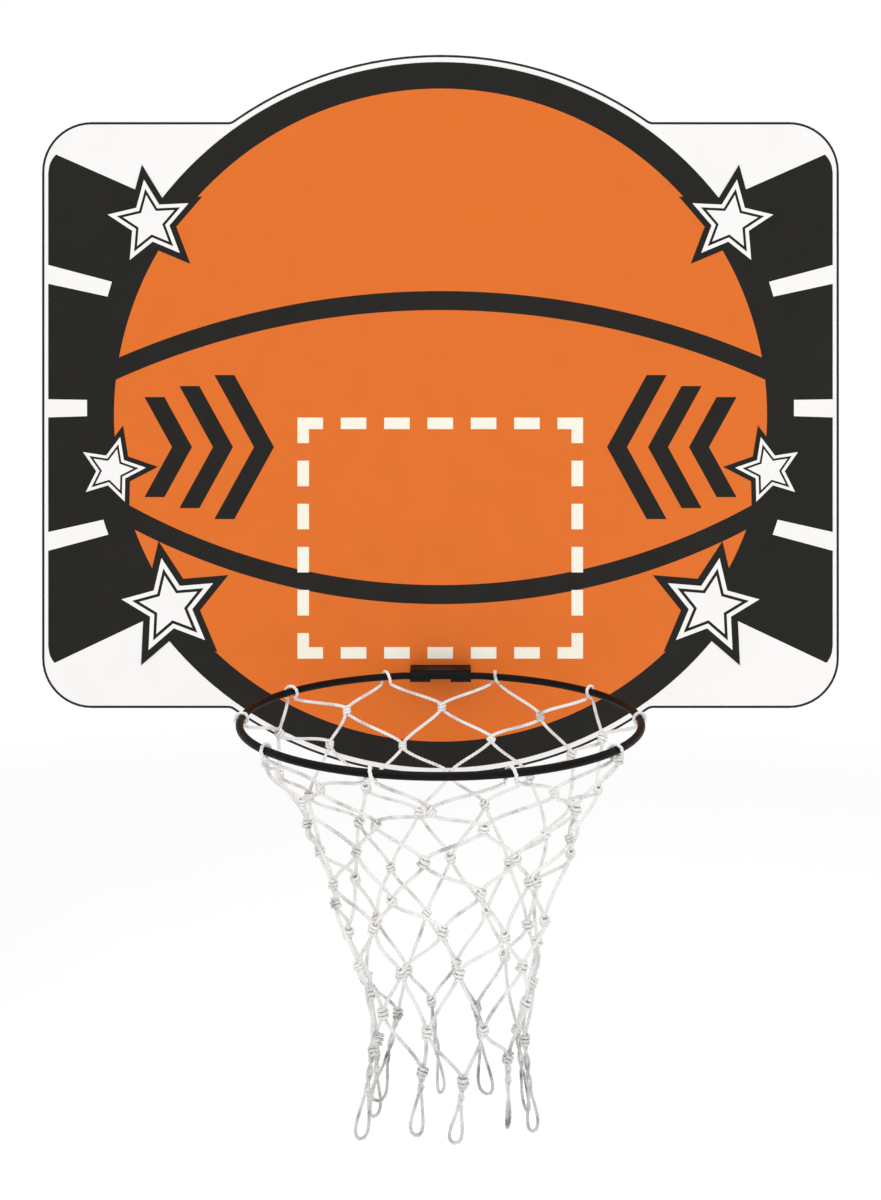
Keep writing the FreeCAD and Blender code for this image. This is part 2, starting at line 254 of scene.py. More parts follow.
def ramp(material, source, stops):
    # a texture value to a colour, by stops of position and colour
    made = node(material, "ShaderNodeValToRGB", {"Fac": source})
    elements = made.color_ramp.elements
    while len(elements) < len(stops):
        elements.new(0.5)
    for element, (position, colour) in zip(elements, stops):
        element.position = position
        element.color = colour
    return made.outputs["Color"]


def span(material, source, low, high, fromLow=0.3, fromHigh=0.7):
    # a texture value carried to a range
    made = node(material, "ShaderNodeMapRange", {"Value": source})
    for key, value in {"From Min": fromLow, "From Max": fromHigh, "To Min": low, "To Max": high}.items():
        made.inputs[key].default_value = value
    return made.outputs["Result"]


def feed(material, **sockets):
    # textures linked to the shader's sockets by name
    shader = material.node_tree.nodes["Principled BSDF"]
    for key, socket in sockets.items():
        material.node_tree.links.new(socket, shader.inputs[key.replace("_", " ")])


def bump(material, height, strength, distance):
    # a relief from a texture value
    return node(
        material, "ShaderNodeBump", {"Height": height}, Strength=strength, Distance=distance
    ).outputs["Normal"]


def shade(colour, factor):
    # a colour made lighter or darker
    return (*[min(1.0, c * factor) for c in colour[:3]], 1.0)


mottle = {
    "tones": (0.3, 0.7),  # noise values that take the darkest and the lightest tone
    "glossGrain": 0.6,  # size of the gloss patches, as a share of the grain
    "gloss": (0.88, 1.15),
    "relief": 0.0004,
}


def mottled(name, colour, roughness, grain, spread, specular, bumpSize, bumpStrength):
    # a finish whose colour and gloss vary gently at the size of its grain, with a fine relief
    material = finish(name, colour, roughness, specular=specular)
    tones = zip(mottle["tones"], [shade(colour, 1 - spread), shade(colour, 1 + spread)])
    tone = ramp(material, noise(material, grain), list(tones))
    patches = noise(material, grain * mottle["glossGrain"])
    gloss = span(material, patches, *[min(1.0, roughness * share) for share in mottle["gloss"]])
    feed(material, Base_Color=tone, Roughness=gloss)
    fine = noise(material, bumpSize, detail=2.0)
    feed(material, Normal=bump(material, fine, bumpStrength, mottle["relief"]))
    return material


inks = {
    "white": linear(250, 248, 247),
    "orange": linear(230, 113, 32),
    "black": linear(22, 20, 15),
    "cream": linear(252, 247, 230),
}
finishes = {
    # colour, roughness, size of the grain, spread of its tone, specular, size and strength of the relief
    "white laminate": (inks["white"], 0.42, 0.03, 0.012, 0.35, 0.0008, 0.04),
    "orange ink": (inks["orange"], 0.46, 0.02, 0.02, 0.25, 0.0007, 0.05),
    "black ink": (inks["black"], 0.48, 0.02, 0.10, 0.22, 0.0007, 0.05),
    "white ink": (inks["white"], 0.46, 0.02, 0.012, 0.3, 0.0007, 0.05),
    "cream ink": (inks["cream"], 0.46, 0.02, 0.015, 0.3, 0.0007, 0.05),
    "black edging": (linear(20, 20, 20), 0.5, 0.01, 0.2, 0.3, 0.001, 0.1),
    "black powder coat": (linear(7, 7, 7), 0.52, 0.006, 0.15, 0.14, 0.0009, 0.3),
    "black rubber": (linear(34, 34, 35), 0.82, 0.004, 0.15, 0.3, 0.0006, 0.3),
}
whiteSheet, orangeInk, blackInk, whiteInk, creamInk, edgeFilm, powderCoat, rubber = [
    mottled(name, *values) for name, values in finishes.items()
]

fibre = {
    "colour": linear(160, 122, 86),
    "roughness": 0.85,
    "specular": 0.2,
    "cloud": 0.05,
    "size": 0.0012,
    "stretch": (0.4, 1, 1),
    "curl": 1.6,
    "lays": (0.35, 1.4, 2.45),
    "sum": (1.1, 2.9),  # least and greatest sum of the lays and the cloud
    "tones": [(0.2, linear(112, 80, 52)), (0.5, linear(158, 120, 84)), (0.8, linear(190, 154, 116))],
    "relief": (0.22, 0.0003),
}


def fibreFinish():
    # a felt of short fibres in three lays over a faint broad cloud, light and dark specks among them
    material = finish("pressed fibreboard", fibre["colour"], fibre["roughness"], specular=fibre["specular"])
    cloud = noise(material, fibre["cloud"], detail=4.0, roughness=0.7)
    first, second, third = [
        noise(material, fibre["size"], stretch=fibre["stretch"], turn=turn, curl=fibre["curl"])
        for turn in fibre["lays"]
    ]
    felt = joined(material, joined(material, first, second, "ADD"), third, "ADD")
    mixed = joined(material, felt, cloud, "ADD")
    tone = ramp(material, span(material, mixed, 0.0, 1.0, *fibre["sum"]), fibre["tones"])
    feed(material, Base_Color=tone, Normal=bump(material, felt, *fibre["relief"]))
    return material


plating = {
    "colour": linear(190, 192, 194),
    "roughness": 0.3,
    "lines": 0.0006,
    "lineStretch": (1, 1, 0.04),
    "spangle": 0.004,
    "tones": [(0.32, linear(168, 172, 176)), (0.55, linear(196, 198, 198)), (0.7, linear(212, 208, 198))],
    "gloss": (0.24, 0.42),
    "relief": (0.12, 0.0002),
}


def zincFinish():
    # rolled steel with a thin bright plating: long faint rolling lines and a spangle
    material = finish("zinc plate", plating["colour"], plating["roughness"], metallic=1.0)
    lines = noise(material, plating["lines"], detail=2.0, stretch=plating["lineStretch"])
    spangle = noise(material, plating["spangle"], detail=2.0)
    tone = ramp(material, spangle, plating["tones"])
    feed(material, Base_Color=tone, Roughness=span(material, spangle, *plating["gloss"]))
    feed(material, Normal=bump(material, lines, *plating["relief"]))
    return material


cotton = {
    "colour": linear(232, 231, 228),
    "roughness": 0.8,
    "specular": 0.2,
    "sheen": 0.15,
    "fuzz": 0.0005,
    "cloud": 0.012,
    "unshaded": [(0.14, linear(190, 189, 187)), (0.22, linear(245, 244, 242)), (0.34, linear(253, 253, 251))],
    # darker tones of the same twine: painted shade for the lower net
    "paintedShade": [(0.14, linear(128, 127, 126)), (0.22, linear(200, 199, 197)), (0.34, linear(230, 230, 228))],
    "paintedShadeZ": (-0.395, -0.46),  # heights between which the twine turns from its unshaded tone to the tone with painted shade
    "relief": (0.4, 0.0003),
}


def twineFinish():
    # white staple fibres: a soft matt tone with a fine lay, and painted shade that greys it towards the foot
    # of the net
    material = finish("white twine", cotton["colour"], cotton["roughness"], specular=cotton["specular"])
    fuzz = noise(material, cotton["fuzz"], detail=4.0, roughness=0.7)
    both = joined(material, fuzz, noise(material, cotton["cloud"], detail=2.0), "MULTIPLY")
    unshaded, paintedShade = [ramp(material, both, cotton[key]) for key in ("unshaded", "paintedShade")]
    height = node(material, "ShaderNodeSeparateXYZ", {"Vector": place(material)}).outputs["Z"]
    # painted shade: the darker tones are mixed in by height, more towards the foot
    foot = span(material, height, 0.0, 1.0, *cotton["paintedShadeZ"])
    mixed = node(material, "ShaderNodeMix", {"Factor": foot, 6: unshaded, 7: paintedShade}, data_type="RGBA").outputs[2]
    feed(material, Base_Color=mixed, Normal=bump(material, fuzz, *cotton["relief"]))
    shader = material.node_tree.nodes["Principled BSDF"]
    shader.inputs["Sheen Weight"].default_value = cotton["sheen"]
    return material


fibreboard = fibreFinish()
zinc = zincFinish()
twine = twineFinish()
carried = {
    "board_core": fibreboard,
    "face_sheet": whiteSheet,
    "edge_band": edgeFilm,
    "hinge_leaf": powderCoat,
    "hanger_left": zinc,
    "hanger_right": zinc,
    "stop_tab": powderCoat,
}
for name, material in carried.items():
    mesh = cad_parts[name].data
    mesh.materials.clear()
    mesh.materials.append(material)
print("materials ready")


# Printed face: flat films of ink laid over each other on the white sheet

film = {
    "step": 0.06 * mm,
    "sunk": 0.01 * mm,
    "slot": "printed_sheet",
    # layers counted from the sheet; the parts of a star take one layer each
    "edge": 1,
    "panels": 1,
    "rays": 2,
    "ring": 3,
    "ball": 4,
    "marks": 5,
    "stars": 6,
    "target": 6,
}


def onFace(pixels):
    # photo pixels on the board to metres across and up
    pixels = np.asarray(pixels, dtype=float)
    x = (pixels[..., 0] - board["pixelX"]) * board["pixel"]
    z = board["centreZ"] - (pixels[..., 1] - board["pixelY"]) * board["pixel"]
    return np.stack([x, z], -1)


def mirrored(edges):
    # the same lines on the other side of the middle, run backwards so that the film still looks forwards
    return [np.stack([-edge[..., 0], edge[..., 1]], -1)[::-1] for edge in edges]


def filmPoints(flat, layer):
    # flat (x, z) points at the front of a layer, followed by the same points sunk into the sheet
    front = np.full(flat.shape[:-1] + (1,), board["face"] - layer * film["step"])
    back = np.full(flat.shape[:-1] + (1,), board["face"] + film["sunk"])
    return [np.concatenate([flat[..., :1], y, flat[..., 1:]], -1) for y in (front, back)]


def ribbonFilm(upper, lower, layer, closed=False):
    # a strip between two edge lines: a box section carried from the first pair of points to the last,
    # and on to the first again where it is closed
    upperFront, upperBack = filmPoints(upper, layer)
    lowerFront, lowerBack = filmPoints(lower, layer)
    points = np.stack([upperFront, lowerFront, lowerBack, upperBack], 1).reshape(-1, 3)
    rings = len(upper)
    walls = gridFaces(rings, 4, closeRows=closed, closeColumns=True)
    if closed:
        return points, walls
    caps = np.array([[3, 2, 1, 0], [0, 1, 2, 3]]) + np.array([[0], [(rings - 1) * 4]])
    return points, np.concatenate([walls, caps])


def bothSides(edges, layer):
    # a strip between two edge lines, and its mirror image
    return [ribbonFilm(*pair, layer) for pair in (edges, mirrored(edges))]


def polarFilm(outline, centre, layer):
    # a plate whose edge is seen whole from its centre: rays from the centre to each point of the outline
    front, back = filmPoints(np.concatenate([outline, [centre]]), layer)
    n = len(outline)
    here, there = np.arange(n), (np.arange(n) + 1) % n
    points = np.concatenate([front, back])
    top = np.stack([np.full(n, n), here, there], -1)
    under = np.stack([np.full(n, 2 * n + 1), n + 1 + there, n + 1 + here], -1)
    rim = np.stack([here, n + 1 + here, n + 1 + there, there], -1)
    return points, rim, np.concatenate([top, under])


def printPiece(name, films, material):
    # strips or plates of one ink in one mesh
    points, faceSets = joinShells(films)
    piece = newPiece(name, points, faceSets, material, "board", smooth=False)


edgeLine = {
    "insets": (0.95 * mm, 1.4 * mm),  # from the board's edge to the two sides of the line
    "halfHeight": 176.5 * mm,
    "corner": 30.0 * mm,
    "bulge": 217.0 * mm,
    "notch": 5.5 * mm,
    "steps": 30,
}


def boardOutline(inset):
    # a quarter of the board's edge moved in by inset, as three arcs about their own centres: the corner,
    # the hollow of the notch and the bulge; the other quarters are its mirror images
    high, bend, hollow = edgeLine["halfHeight"], edgeLine["corner"], edgeLine["notch"]
    notchZ = high + hollow
    notchX = math.sqrt((edgeLine["bulge"] + hollow) ** 2 - notchZ ** 2)
    lean = math.atan2(notchZ, notchX)
    t = np.arange(edgeLine["steps"]) / edgeLine["steps"]
    arcs = []
    for x, z, r, start, end in (
        (board["halfWidth"] - bend, high - bend, bend - inset, 0.0, quarterTurn),
        (notchX, notchZ, hollow + inset, -quarterTurn, lean - math.pi),
        (0.0, 0.0, edgeLine["bulge"] - inset, lean, quarterTurn),
    ):
        arcs.append(arc((x, z), r, start + (end - start) * t))
    quarter = np.concatenate(arcs)
    back = quarter[::-1]
    return np.concatenate([quarter, back * (-1, 1), -quarter, back * (1, -1)]) + (0.0, board["centreZ"])


panel = {
    # in photo pixels; the two lines are given by a point and a slope
    "side": 48.2,
    "inner": 175.0,
    "upperLine": (54.9, 153.9, 0.442),
    "lowerLine": (50.1, 665.0, -0.473),
    "corner": 26.0,
    "cornerEnds": (147.0, 672.0),  # levels where the outer edge starts and ends
    "cornerGrid": (8.0, 9),  # width and count of the finer steps in the corners
    "rays": [
        [(46.0, 264.3), (111.9, 281.7), (46.0, 283.2), (107.5, 296.5)],
        [(46.0, 399.2), (87.0, 399.8), (46.0, 417.4), (87.0, 416.1)],
        [(46.0, 532.5), (108.6, 518.5), (46.0, 551.3), (112.6, 533.4)],
    ],
}


def sidePanel():
    # between a falling upper line and a rising lower line, its outer corners cut to the board's own corners
    fine = np.linspace(0, *panel["cornerGrid"])
    across = np.concatenate([fine, [panel["inner"] - panel["side"]]]) + panel["side"]
    upper, lower = [y + (across - x) * slope for x, y, slope in (panel["upperLine"], panel["lowerLine"])]
    inCorner = 1 - (across - panel["side"]) / panel["corner"]
    curve = panel["corner"] * (1 - np.sqrt(np.clip(1 - inCorner ** 2, 0, 1)))
    top, foot = panel["cornerEnds"]
    upper, lower = np.maximum(upper, top + curve), np.minimum(lower, foot - curve)
    return [onFace(np.stack([across, edge], -1)) for edge in (upper, lower)]


ball = {
    # in photo pixels; each seam has the middle heights of its two edges, the radius it bows with and its way
    "outer": 353.0,
    "inner": 326.5,
    "steps": 180,
    "seams": [(291.0, 310.0, 802.0, 1), (585.0, 604.0, 656.0, -1)],
    "seamHalf": 330.0,
    "seamSteps": 61,
}


def seamStrip(high, low, bow, way):
    # two arcs of one centre that end inside the black ring of the ball
    centreY = (high + low) / 2 + way * bow
    x = board["pixelX"] + np.linspace(-1, 1, ball["seamSteps"]) * ball["seamHalf"]
    edges = []
    for edge in (high, low):
        radius = abs(edge - centreY)
        y = centreY - way * np.sqrt(radius ** 2 - (x - board["pixelX"]) ** 2)
        edges.append(onFace(np.stack([x, y], -1)))
    return edges


star = {
    # across, down, size of the black outline in photo pixels and turn in degrees; each is mirrored
    "places": [(150.0, 222.0, 58.0, 8.0), (112.0, 470.0, 46.0, -14.0), (170.0, 606.0, 66.0, 10.0)],
    "points": 5,
    "waist": 0.46,
    "sizes": (1.0, 0.74, 0.58, 0.47),  # outline, white, line and fill
}


def starOutline(centre, size, turn):
    # points far and near by turns
    k = np.arange(2 * star["points"])
    angle = np.radians(turn) + quarterTurn + k * math.pi / star["points"]
    return arc(centre, size * np.where(k % 2 == 0, 1.0, star["waist"]), angle)


chevron = {
    # tip and half height of each in photo pixels, pointing at the target from the left; each is mirrored
    "tips": [(192.0, 50.0), (233.0, 61.0), (274.0, 72.0)],
    "middle": 447.0,
    "lean": 0.55,
    "thick": 20.0,
}


def chevronEdges(tip, half):
    # two slanted bars that meet at the tip: the front line and the same line moved back
    y = chevron["middle"] + np.array([-half, 0.0, half])
    x = tip - np.abs(y - chevron["middle"]) * chevron["lean"]
    return [onFace(np.stack([line, y], -1)) for line in (x, x - chevron["thick"])]


target = {
    "low": (297.5, 417.5),
    "high": (583.0, 658.5),
    "thick": 11.5,
    "dashAcross": 25.5,
    "dashDown": 25.5,
    "countAcross": 7,
    "countDown": 6,
}


def targetDashes():
    # dashes along the four sides of a rectangle, spaced evenly from corner to corner;
    # at the corners the upright dash only goes on from the level one
    (x0, y0), (x1, y1) = target["low"], target["high"]
    t, wide, tall = target["thick"], target["dashAcross"], target["dashDown"]
    boxes = []
    for left in np.linspace(x0, x1 - wide, target["countAcross"]):
        boxes += [(left, y0, left + wide, y0 + t), (left, y1 - t, left + wide, y1)]
    for k, top in enumerate(np.linspace(y0, y1 - tall, target["countDown"])):
        low = y0 + t if k == 0 else top
        high = y1 - t if k == target["countDown"] - 1 else top + tall
        boxes += [(x0, low, x0 + t, high), (x1 - t, low, x1, high)]
    return boxes


outerLine, innerLine = [boardOutline(inset) for inset in edgeLine["insets"]]
edgeStrip = ribbonFilm(innerLine, outerLine, film["edge"], closed=True)
printPiece("print_edge_line", [edgeStrip], blackInk)
printPiece("print_side_panels", bothSides(sidePanel(), film["panels"]), blackInk)
rays = []
for a, b, c, d in panel["rays"]:
    rays += bothSides([onFace([a, b]), onFace([c, d])], film["rays"])
printPiece("print_side_rays", rays, whiteInk)

ballCentre = (0.0, board["centreZ"])
for name, reach, layer, ink in (
    ("print_ball_ring", ball["outer"], film["ring"], blackInk),
    ("print_ball", ball["inner"], film["ball"], orangeInk),
):
    outline = arc(ballCentre, reach * board["pixel"], around(ball["steps"]))
    printPiece(name, [polarFilm(outline, ballCentre, layer)], ink)
marks = [ribbonFilm(*seamStrip(*seam), film["marks"]) for seam in ball["seams"]]
for tip, half in chevron["tips"]:
    marks += bothSides(chevronEdges(tip, half), film["marks"])
printPiece("print_ball_marks", marks, blackInk)

starPlates = [[] for share in star["sizes"]]
for x, y, size, turn in star["places"]:
    centre = onFace((x, y))
    for side in (1, -1):
        spot = (centre[0] * side, centre[1])
        for k, share in enumerate(star["sizes"]):
            outline = starOutline(spot, size * share * board["pixel"], turn * side)
            starPlates[k].append(polarFilm(outline, spot, film["stars"] + k))
for name, plates, ink in zip(
    ("print_star_outlines", "print_stars", "print_star_lines", "print_star_fills"),
    starPlates,
    (blackInk, whiteInk, blackInk, whiteInk),
):
    printPiece(name, plates, ink)
dashes = []
for x0, y0, x1, y1 in targetDashes():
    dashes.append(ribbonFilm(onFace([(x0, y0), (x1, y0)]), onFace([(x0, y1), (x1, y1)]), film["target"]))
printPiece("print_target", dashes, creamInk)
print("print laid")


# Fixings behind the board

screw = {
    "places": [(x, z) for x in (-150.0 * mm, 150.0 * mm) for z in (28.9 * mm, -17.9 * mm)],
    "turns": (0.3, 1.1, 0.8, 0.15),
    "seat": -8.8 * mm,
    "radius": 3.5 * mm,
    "edge": 0.8 * mm,
    "height": 2.2 * mm,
    "domePower": 2.2,
    "cross": 1.9 * mm,
    "crossHalf": 0.55 * mm,
    "crossTaper": (1.15, 0.5),  # share of its width that an arm starts with, and loses by its end
    "crossDepth": 1.3 * mm,
    "softSide": 0.22 * mm,
    "softEnd": 0.3 * mm,
    "middle": 0.12 * mm,
    "levels": 26,
    "steps": 72,
}


def crossScrew(x, z, turn):
    # a low dome falling to an upright edge, with a cross pressed in: depth drops inside either arm
    steps, radius, seat, arm = [screw[key] for key in ("steps", "radius", "seat", "cross")]
    r = np.linspace(screw["middle"], radius, screw["levels"])[:, None] * np.ones((1, steps))
    angle = around(steps) - turn
    across, along = np.abs(r * np.cos(angle)), np.abs(r * np.sin(angle))
    near, far = np.minimum(across, along), np.maximum(across, along)
    whole, loss = screw["crossTaper"]
    half = screw["crossHalf"] * (whole - loss * far / arm)
    inside = np.clip((half - near) / screw["softSide"] + 0.5, 0, 1)
    inside = inside * np.clip((arm - far) / screw["softEnd"] + 0.5, 0, 1)
    dome = np.sqrt(np.clip(1 - (r / radius) ** screw["domePower"], 0, 1))
    rise = (screw["height"] - screw["edge"]) * dome
    depth = seat + screw["edge"] + rise - inside * screw["crossDepth"]
    reach = np.concatenate([r, np.full((1, steps), radius)])
    depth = np.concatenate([depth, np.full((1, steps), seat)])
    return polarShell(reach, depth, (depth[0, 0], seat), (x, 0, z))


heads = [crossScrew(x, z, turn) for (x, z), turn in zip(screw["places"], screw["turns"])]
points, faceSets = joinShells(heads)
screwPiece = newPiece("hanger_screw_heads", points, faceSets, zinc, "board")
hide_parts("hanger_screws")

bolt = {
    "places": [-10.0 * mm, 10.0 * mm],
    "z": -243.4 * mm,
    "end": -3.5 * mm,
    "flange": -8.5 * mm,
    "washer": 0.8 * mm,
    "washerOuter": 4.5 * mm,
    "washerBore": 2.15 * mm,
    "washerSoft": 0.15 * mm,
    "nut": 3.2 * mm,
    "flats": 3.5 * mm,
    "nutCut": 0.96,  # reach of the cone at the nut's faces, as a share of its flats
    "nutCone": 30.0,
    "mouth": 0.35 * mm,
    "bore": 2.02 * mm,
    "thread": 0.7 * mm,
    "threadDepth": 0.28 * mm,
    "threadRows": 60,
    "tipCut": 0.45 * mm,
    "tipLength": 0.3 * mm,
    "tipFlat": (0.3, 0.97),
    "tipSoft": 0.02 * mm,
    "shank": 2.0 * mm,
    "headRadius": 4.0 * mm,
    "headFront": -16.0 * mm,
    "headSunk": 0.2 * mm,
    "headDeep": 2.2 * mm,
    "steps": 72,
}


def hexNut(x):
    # a hexagon of reach flats / cos(angle from the nearest flat), its corners cut by a cone at both faces
    bore, mouth = bolt["bore"], bolt["mouth"]
    front = bolt["flange"] + bolt["washer"]
    rear = front + bolt["nut"]
    sixth = math.pi / 3
    fromFlat = (around(bolt["steps"]) + sixth / 2) % sixth - sixth / 2
    hexagon = bolt["flats"] / np.cos(fromFlat)
    cut = bolt["nutCut"] * bolt["flats"]
    drop = (hexagon - cut) * math.tan(math.radians(bolt["nutCone"]))
    reach = np.stack(np.broadcast_arrays(bore, bore + mouth, cut, hexagon, hexagon, cut, bore))
    depth = np.stack(np.broadcast_arrays(rear - mouth, rear, rear, rear - drop, front + drop, front, front))
    return polarRing(reach, depth, (x, 0, bolt["z"]))


def boltBody(x):
    # a shank whose reach dips along a helix, a cut tip behind and a countersunk head in front
    steps, end, flange, shank = [bolt[key] for key in ("steps", "end", "flange", "shank")]
    y = np.linspace(end - bolt["tipLength"], flange, bolt["threadRows"])[:, None] * np.ones((1, steps))
    phase = (y / bolt["thread"] + np.arange(steps) / steps) % 1.0
    thread = shank - bolt["threadDepth"] * np.abs(2 * phase - 1)
    cut = shank - bolt["tipCut"]
    inner, outer = bolt["tipFlat"]
    tip = turned([(inner * cut, end), (outer * cut, end), (cut, end - bolt["tipSoft"])], steps)
    headRear, headFront = [bolt["headFront"] + bolt[key] for key in ("headDeep", "headSunk")]
    head = turned([(shank, flange), (shank, headRear), (bolt["headRadius"], headFront)], steps)
    reach = np.concatenate([tip[0], thread, head[0]])
    depth = np.concatenate([tip[1], y, head[1]])
    return polarShell(reach, depth, (end, headFront), (x, 0, bolt["z"]))


def flatWasher(x):
    # a flat ring with softened edges
    front, rear = bolt["flange"], bolt["flange"] + bolt["washer"]
    outer, bore, soft = bolt["washerOuter"], bolt["washerBore"], bolt["washerSoft"]
    profile = [
        (bore, rear - soft), (bore + soft, rear), (outer - soft, rear), (outer, rear - soft),
        (outer, front + soft), (outer - soft, front), (bore + soft, front), (bore, front + soft),
    ]
    return polarRing(*turned(profile, bolt["steps"]), (x, 0, bolt["z"]))


for name, maker, standsFor in (
    ("hinge_hex_nuts", hexNut, "hinge_nuts"),
    ("hinge_bolt_threads", boltBody, "hinge_bolts"),
    ("hinge_flat_washers", flatWasher, "hinge_washers"),
):
    points, faceSets = joinShells([maker(x) for x in bolt["places"]])
    piece = newPiece(name, points, faceSets, zinc, "board", smooth=maker is boltBody)
    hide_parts(standsFor)

pad = {
    "x": 170.0 * mm,
    "z": -241.5 * mm,
    "base": -10.0 * mm,
    "radius": 10.0 * mm,
    "middle": 0.3 * mm,
    "shoulder": 1.8 * mm,
    "shoulderIn": 2.2 * mm,
    "shoulderSteps": 8,
    "grooveFrom": -3.2 * mm,
    "grooveIn": 0.35 * mm,
    "grooveDepth": 0.55 * mm,
    "grooveWidth": 1.6 * mm,
    "grooveSteps": 9,
    "waist": (9.8 * mm, -6.0 * mm),  # reach and level under the groove
    "foot": 1.2 * mm,
    "steps": 72,
}


def padProfile():
    # flat against the wall, rounded over, with one moulded groove below the shoulder and a wider foot
    r, base, bend = pad["radius"], pad["base"], pad["shoulder"]
    bow = np.linspace(quarterTurn, 0, pad["shoulderSteps"])
    shoulder = arc((r - pad["shoulderIn"], -bend), bend, bow)
    groove = np.linspace(0, math.pi, pad["grooveSteps"])
    dip = np.stack([
        r - pad["grooveIn"] - pad["grooveDepth"] * np.sin(groove),
        pad["grooveFrom"] - pad["grooveWidth"] * groove / math.pi,
    ], -1)
    foot = [pad["waist"], (r, base + pad["foot"]), (r, base)]
    return np.concatenate([[(pad["middle"], 0.0)], shoulder, dip, foot])


for side, name in ((-1, "pad_left"), (1, "pad_right")):
    reach, depth = turned(padProfile(), pad["steps"])
    centre = (side * pad["x"], 0, pad["z"])
    points, quads, fans = polarShell(reach, depth, (0.0, pad["base"]), centre)
    piece = newPiece(name + "_rubber", points, [quads, fans], rubber, "board")
    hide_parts(name)
print("fixings made")


# Rim: a round rod along its straight run, two bends and the ring

rimTube = {
    "sides": 28,
    "straight": 14,
    "bend": 40,
    "ring": 240,
    "lap": 2,  # points that overlap at the seam, so that the tube's direction runs on there
}


def rimPath():
    # straight run at the back, then three arcs that meet it and each other without a kink
    half, bendR, r = ring["axleHalf"], ring["bend"], ring["radius"]
    bendY = ring["axleY"] - bendR
    lean = math.atan2(half, bendY - ring["centreY"])
    x = np.linspace(-half, half, rimTube["straight"], endpoint=False)
    run = np.stack([x, np.full(len(x), ring["axleY"])], -1)
    a = np.linspace(quarterTurn, quarterTurn - lean, rimTube["bend"], endpoint=False)
    right = arc((half, bendY), bendR, a)
    b = np.linspace(quarterTurn - lean, quarterTurn + lean - fullTurn, rimTube["ring"], endpoint=False)
    hoop = arc((0.0, ring["centreY"]), r, b)
    c = np.linspace(quarterTurn + lean, quarterTurn, rimTube["bend"], endpoint=False)
    left = arc((-half, bendY), bendR, c)
    flat = np.concatenate([run, right, hoop, left])
    return np.concatenate([flat, np.full((len(flat), 1), ring["z"])], -1)


path, lap = rimPath(), rimTube["lap"]
lapped = np.concatenate([path[-lap:], path, path[:lap]])
tube = tubeSurface(lapped, np.broadcast_to(upWay, lapped.shape), ring["rod"], rimTube["sides"])[lap:-lap]
rimFaces = gridFaces(len(path), rimTube["sides"], closeRows=True, closeColumns=True)
rim = newPiece("rim_rod", tube, [rimFaces], powderCoat, "hoop")
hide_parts("rim")

weld = {
    "half": 5.2 * mm,
    "radius": 0.75 * mm,
    "ripple": 1.3 * mm,
    "rippleDepth": 0.14,
    "back": 2.35 * mm,
    "rise": -0.25 * mm,
    "endReach": 1.02,  # where the bead would close, as a share of its half length
    "endPower": 8,
    "endLeast": 0.02,
    "rings": 70,
    "sides": 14,
}


def weldTube():
    # a bead laid in overlapping drops: its radius rises and falls along its run and closes at both ends
    x = np.linspace(-weld["half"], weld["half"], weld["rings"])
    y, z = ring["axleY"] + weld["back"], ring["z"] + weld["rise"]
    path = np.stack(np.broadcast_arrays(x, y, z), -1)
    depth = weld["rippleDepth"]
    pulse = 1 - depth + depth * np.abs(np.sin(x * math.pi / weld["ripple"]))
    toEnd = (x / (weld["half"] * weld["endReach"])) ** weld["endPower"]
    radius = weld["radius"] * pulse * np.sqrt(np.clip(1 - toEnd, weld["endLeast"], 1))
    return tubeSurface(path, np.broadcast_to(upWay, path.shape), radius, weld["sides"])


bead = newPiece("stop_tab_weld", weldTube(), tubeFaces(1, weld["rings"], weld["sides"]), powderCoat, "hoop")
print("rim made")


# Net of white twine

net = {
    "columns": 10,
    "rows": 8,
    "top": 4.3 * mm,
    "drop": 163.7 * mm,
    "growth": 1.3,
    "throat": 42 * mm,
    "flare": 62.5 * mm,
    "taper": 1.5,
    "twine": 1.0 * mm,
    "lay": 6.5 * mm,  # length of one turn of the strands
    "strands": 3,
    "lobeDepth": 0.3,
    "sides": 12,
    "edgeRings": 44,
    "stiffRows": 2,  # rows over which the strays set in
    "strayTurn": 2.6,  # degrees
    "strayLeast": 0.6,  # share of strayTurn at the rim; at the foot it is one more
    "strayDrop": 2.4 * mm,
    "strayOut": 2.2 * mm,
    "slack": 1.4 * mm,
    "firstSlack": 0.5,  # share of the slack in the first lengths
    "pull": 0.8,  # how straight a length leaves its knot
    "steepTop": 0.14,
    "steepFoot": 0.34,
    "sway": 4.5 * mm,
    "swayPower": 1.5,
    "twist": 9.0,  # degrees that the foot has turned about the net's middle
    "hitchHalf": 2.8 * mm,
    "knotHalf": 0.7 * mm,  # how far to the side and up or down from a knot's middle its lengths end
    "knotRise": 2.0 * mm,
    "folded": 0.25,  # share of its length that the net keeps when the rim is folded up
}


def knotPlaces():
    # knots on a surface of revolution that narrows downwards, each a little out of its place
    row = np.arange(net["rows"] + 1)[:, None]
    column = np.arange(net["columns"])[None, :]
    share = row / net["rows"]
    step = 360 / net["columns"]
    turn = np.radians(step * column + np.where(row % 2 == 0, step / 2, 0.0) + net["twist"] * share)
    radius = net["throat"] + net["flare"] * (1 - share) ** net["taper"]
    depth = net["top"] + net["drop"] * share ** net["growth"]
    loose = np.clip(row / net["stiffRows"], 0, 1)
    shape = (net["rows"] + 1, net["columns"])
    stray = loose * np.radians(net["strayTurn"]) * dice.normal(size=shape)
    turn = turn + stray * (net["strayLeast"] + share)
    radius = radius + loose * net["strayOut"] * dice.normal(size=shape)
    depth = depth + loose * net["strayDrop"] * dice.normal(size=shape)
    return turn, radius, depth


def netPoint(turn, radius, depth):
    # turn is counted from the middle of the back; the foot hangs a little to the right
    x = radius * np.sin(turn) + net["sway"] * (depth / net["drop"]) ** net["swayPower"]
    y = ring["centreY"] + radius * np.cos(turn)
    return np.stack([x, y, ring["z"] - depth], -1)


